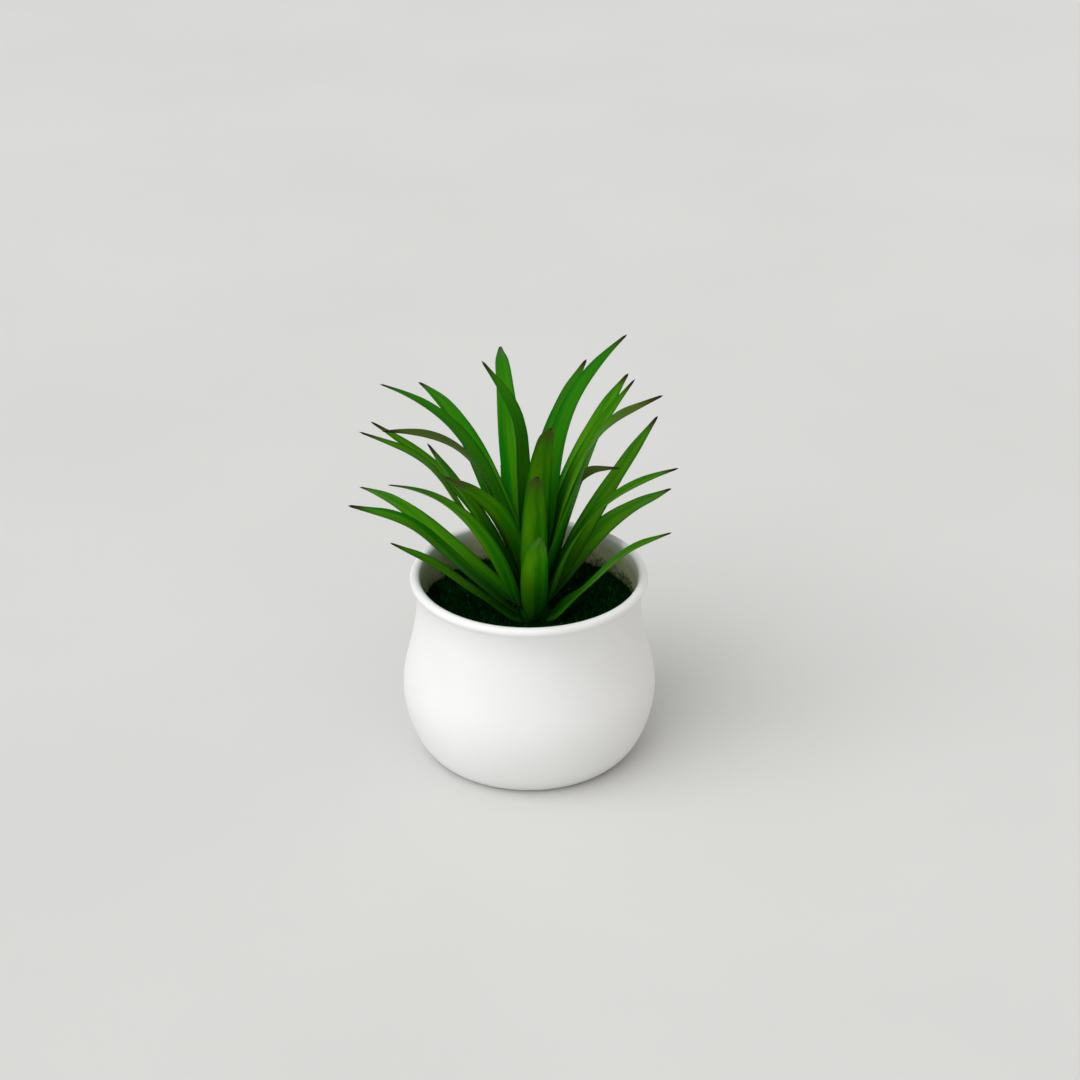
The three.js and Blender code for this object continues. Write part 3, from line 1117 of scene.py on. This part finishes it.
@dataclass
class Leaf:
    """One strap leaf: a ball drawn out along the CAD leaf's spine to a blade with a creased middle."""

    node: str
    stem: Stem
    habit: Habit
    rings: int = 64
    sides: int = 20
    ring_steps: int = 6
    thickness: float = 0.7 * MM
    tip_thickness: float = 0.35 * MM
    edge: float = 0.3  # thickness of the margin, as a share of the middle's
    channel: float = 0.2  # how far the margins stand up, as a share of the half width
    clear_rise: float = 0.1 * MM  # how far the CAD leaf's margins rise where they show its upper face
    crease: float = 0.16 * MM  # depth of the groove along the middle of the upper face
    keel: float = 0.1 * MM  # how much the middle stands out below
    crease_width: float = 0.16  # as a share of the half width
    crease_fades: float = 3.0 * MM  # half width under which the groove grows shallower
    rooted: float = 0.9 * MM  # how deep the root stands in the stem
    tip_end: float = 0.3  # width at the very tip, as a share of the last ring's
    root_from: float = 0.32  # share of the length at which a broad root starts to spread
    root_to: float = 0.05  # share at which it has its full breadth
    tip_from: float = 0.65  # share of the length at which the blade starts to be fuller
    tip_to: float = 0.9  # share from which it is fuller by the whole gain

    def rings_from_root(self, copy: BMesh) -> tuple[Vector, list[list[Vector]], Vector]:
        """Walks a CAD leaf from its root to its tip.

        Args:
            copy: The leaf's mesh, with its triangles joined.

        Returns:
            The root's point, each ring's points and the tip's point.
        """
        poles = sorted(copy.verts, key=lambda v: len(v.link_edges))[-2:]
        root, tip = sorted(poles, key=lambda v: (v.co.xy - self.stem.centre.xy).length)
        rings, seen, front = [], {root}, [root]
        while tip not in front:
            front = list({e.other_vert(v) for v in front for e in v.link_edges} - seen)
            seen.update(front)
            rings.append([v.co.copy() for v in sorted(front, key=lambda v: v.index)])
        return root.co.copy(), rings[:-1], tip.co.copy()

    def stations(self) -> list[Station]:
        """Reads the middle, side and upper face of each ring, and adds the rooted end and the tip.

        Returns:
            The stations from the root to the tip.
        """
        copy = merged_copy(self.node)
        root, rings, tip = self.rings_from_root(copy)
        copy.free()
        stations, before, up = [], root, Vector((0, 0, 1))
        for ring in rings:
            pairs = ((a, b) for a in ring for b in ring)
            left, right = max(pairs, key=lambda pair: (pair[0] - pair[1]).length)
            side, margins = (left - right) / 2, (left + right) / 2
            crown = sorted(ring, key=lambda p: abs((p - margins).dot(side)))[:2]
            middle = (crown[0] + crown[1]) / 2
            along = (middle - before).normalized()
            across = side.cross(along).normalized()
            rises = (margins - middle).dot(across)
            looks_up = rises > 0 if abs(rises) > self.clear_rise else across.dot(up) > 0
            up = across if looks_up else -across
            side = side if up.cross(along).dot(side) > 0 else -side
            stations.append(Station(middle, side, up))
            before = middle
        outward = root - self.stem.centre
        outward.z = 0
        rooted = Station(root - outward.normalized() * self.rooted, stations[0].side, stations[0].up)
        ended = Station(tip, stations[-1].side * self.tip_end, stations[-1].up)
        return [rooted, *stations, ended]

    def finer_stations(self) -> list[Station]:
        """Puts smooth curves between the stations.

        Returns:
            The stations, closer together.
        """
        rough = self.stations()
        columns = ([s.middle for s in rough], [s.side for s in rough], [s.up for s in rough])
        finer = (curve_through(column, self.ring_steps) for column in columns)
        return [Station(*row) for row in zip(*finer)]

    def lift(self, along: float, around: float, half_width: float) -> float:
        """How far a point of the skin stands from the blade's middle sheet, towards the upper face.

        Args:
            along: Share of the leaf's length.
            around: Angle round the blade; 0 and pi are the margins.
            half_width: Half the blade's width here.

        Returns:
            The distance.
        """
        across = math.cos(around)
        face = math.sin(around)
        half_thickness = (self.thickness + (self.tip_thickness - self.thickness) * along) / 2
        half_thickness *= 1 + self.habit.root_gain * self.near_root(along)
        full = self.edge + (1 - self.edge) * (1 - across**2)
        groove = self.crease if face > 0 else self.keel
        fold = math.exp(-((across / self.crease_width) ** 2)) * min(1.0, half_width / self.crease_fades)
        return half_thickness * face * full - groove * fold + self.channel * half_width * across**2

    def near_root(self, along: float) -> float:
        """Runs from 0 to 1 towards the root, over the part where a broad root spreads."""
        return eased((self.root_from - along) / (self.root_from - self.root_to))

    def gain(self, along: float) -> float:
        """How much wider than the CAD leaf the blade is, at a share of its length."""
        tip = self.habit.tip_gain * eased((along - self.tip_from) / (self.tip_to - self.tip_from))
        return (1 + tip + self.habit.root_gain * self.near_root(along)) * self.habit.fuller

    def turned(self, along: float, side: Vector, up: Vector) -> tuple[Vector, Vector]:
        """The half side and the upper face's direction after the leaf's own turn.

        Args:
            along: Share of the leaf's length.
            side: The half side of the CAD leaf.
            up: The direction that its upper face looks.

        Returns:
            Both after the turn.
        """
        angle = math.radians(self.habit.turn + self.habit.root_turn * self.near_root(along))
        flat = side.normalized()
        turned_side = flat * math.cos(angle) + up * math.sin(angle)
        turned_up = up * math.cos(angle) - flat * math.sin(angle)
        return turned_side * side.length, turned_up

    def station_at(self, along: float, stations: list[Station], shares: list[float]) -> Station:
        """Finds the blade at a share of its length, with the leaf's own width and turn.

        Args:
            along: The share.
            stations: The leaf's stations.
            shares: The share of the length at which each of them stands.

        Returns:
            The blade there.
        """
        after = max(1, min(bisect.bisect_left(shares, along), len(shares) - 1))
        part = (along - shares[after - 1]) / (shares[after] - shares[after - 1])
        here, ahead = stations[after - 1], stations[after]
        side = here.side.lerp(ahead.side, part) * self.gain(along)
        up = here.up.lerp(ahead.up, part).normalized()
        return Station(here.middle.lerp(ahead.middle, part), *self.turned(along, side, up))

    def build(self) -> None:
        """Builds the leaf in the CAD node's place."""
        stations = self.finer_stations()
        lengths = [0.0]
        for here, ahead in zip(stations, stations[1:]):
            lengths.append(lengths[-1] + (ahead.middle - here.middle).length)
        shares = [length / lengths[-1] for length in lengths]
        shape = bmesh.new()
        bmesh.ops.create_uvsphere(shape, u_segments=self.sides, v_segments=self.rings, radius=1)
        for name in LEAF_LAYERS:
            shape.verts.layers.float.new(name)
        layers = [shape.verts.layers.float[name] for name in LEAF_LAYERS]
        for vert in shape.verts:
            along = math.acos(max(-1.0, min(1.0, vert.co.z))) / math.pi
            around = math.atan2(vert.co.y, vert.co.x)
            is_pole = vert.co.xy.length < POLE
            blade = self.station_at(along, stations, shares)
            across = 0.0 if is_pole else math.cos(around)
            lift = 0.0 if is_pole else self.lift(along, around, blade.side.length)
            vert.co = blade.middle + blade.side * across + blade.up * lift
            values = (along, across, self.habit.scorch.value, self.habit.tip.value, self.habit.tone)
            for layer, value in zip(layers, values):
                vert[layer] = value
        bmesh.ops.recalc_face_normals(shape, faces=shape.faces)
        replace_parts(show(f"{self.node}_blade", shape, SoftPolyethylene()), self.node)


@dataclass
class Foliage:
    """All the leaves of the plant."""

    stem: Stem

    def build(self) -> None:
        """Builds every leaf, each in its own habit."""
        for node in sorted(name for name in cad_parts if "_leaf_" in name):
            Leaf(node, self.stem, HABITS.get(node, Habit())).build()


# -------------------- the studio


@dataclass
class Studio:
    """The camera where the photograph was taken, a pale floor and soft light from the upper left."""

    lens_mm: float = 80.0
    sensor_mm: float = 36.0
    distance: float = 745.8 * MM  # from the middle of the pot's mouth
    elevation: float = 28.7  # of the camera, seen from there, in degrees
    pitch: float = 27.85  # degrees that it looks down
    yaw: float = 0.3  # degrees that it looks to the right
    mouth_height: float = 58.85 * MM
    floor_size: float = 60.0
    sky: float = 0.4  # strength of the surroundings
    horizon: float = 0.76  # and near the horizon
    horizon_height: float = 0.05  # sine of the elevation up to which that holds
    sky_height: float = 0.1  # sine of the elevation from which there is only sky

    def aim(self) -> None:
        """Makes the camera and points it as the photograph's was."""
        data = bpy.data.cameras.new("camera")
        data.lens = self.lens_mm
        data.sensor_width = self.sensor_mm
        data.clip_start = 0.01
        data.clip_end = 100.0
        camera = in_scene("camera", data)
        rise, down, aside = (math.radians(angle) for angle in (self.elevation, self.pitch, self.yaw))
        camera.location = (
            0, -self.distance * math.cos(rise), self.mouth_height + self.distance * math.sin(rise),
        )
        ahead = Vector((math.sin(aside) * math.cos(down), math.cos(aside) * math.cos(down), -math.sin(down)))
        camera.rotation_mode = "QUATERNION"
        camera.rotation_quaternion = ahead.to_track_quat("-Z", "Y")
        bpy.context.scene.camera = camera

    def lay_floor(self) -> None:
        """Lays the pale floor under the pot."""
        shape = bmesh.new()
        bmesh.ops.create_grid(shape, x_segments=1, y_segments=1, size=self.floor_size / 2)
        mesh = as_mesh("floor", shape)
        mesh.materials.append(PaintedBoard().material())
        in_scene("floor", mesh)

    def light(
        self, name: str, aside: float, above: float, spread: float, strength: float, colour: str = "#FFFFFF",
    ) -> None:
        """Hangs one wide soft light, so far off that it lights the whole floor evenly.

        Args:
            name: The light's name.
            aside: Its direction from the front, in degrees to the right.
            above: Its elevation in degrees.
            spread: How wide it looks from the plant, in degrees.
            strength: What it sends, in watts for each square metre.
            colour: Its colour.
        """
        data = bpy.data.lights.new(name, "SUN")
        data.angle = math.radians(spread)
        data.energy = strength
        data.color = linear(colour)[:3]
        turn, up = math.radians(aside), math.radians(above)
        towards = Vector((math.sin(turn) * math.cos(up), -math.cos(turn) * math.cos(up), math.sin(up)))
        in_scene(name, data).rotation_euler = towards.to_track_quat("Z", "Y").to_euler()

    def surround(self) -> None:
        """Sets soft surroundings, as pale as the floor near the horizon, so that no dark band meets it."""
        world = bpy.data.worlds.new("studio")
        world.use_nodes = True
        tree = world.node_tree
        direction = add_node(tree, "TexCoord").outputs["Generated"]
        rise = add_node(tree, "SeparateXYZ", {"Vector": direction}).outputs["Z"]
        heights = {"Value": rise, "From Min": self.horizon_height, "From Max": self.sky_height}
        strength = add_node(
            tree, "MapRange", {**heights, "To Min": self.horizon, "To Max": self.sky}, SMOOTH,
        )
        feed(tree, tree.nodes["Background"], {"Color": linear("#FAFBFC"), "Strength": strength})
        bpy.context.scene.world = world

    def build(self) -> None:
        """Builds the studio, with the key from the left, a light from above and a warm fill."""
        self.aim()
        self.lay_floor()
        self.surround()
        self.light("key", aside=-52, above=45, spread=65, strength=1.82)
        self.light("overhead", aside=0, above=88, spread=80, strength=0.8)
        self.light("warm_fill", aside=80, above=30, spread=90, strength=0.14, colour="#FFDFB0")
        bpy.context.scene.view_settings.view_transform = "Standard"


# -------------------- the whole


def main() -> None:
    """Builds the studio and the plant, piece by piece."""
    logging.basicConfig(level=logging.INFO, format="%(message)s")
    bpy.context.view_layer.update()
    Studio().build()
    pot = Pot()
    pot.build()
    Moss(pot).build()
    stem = Stem()
    stem.build()
    Foliage(stem).build()


if __name__ == "__main__":
    main()
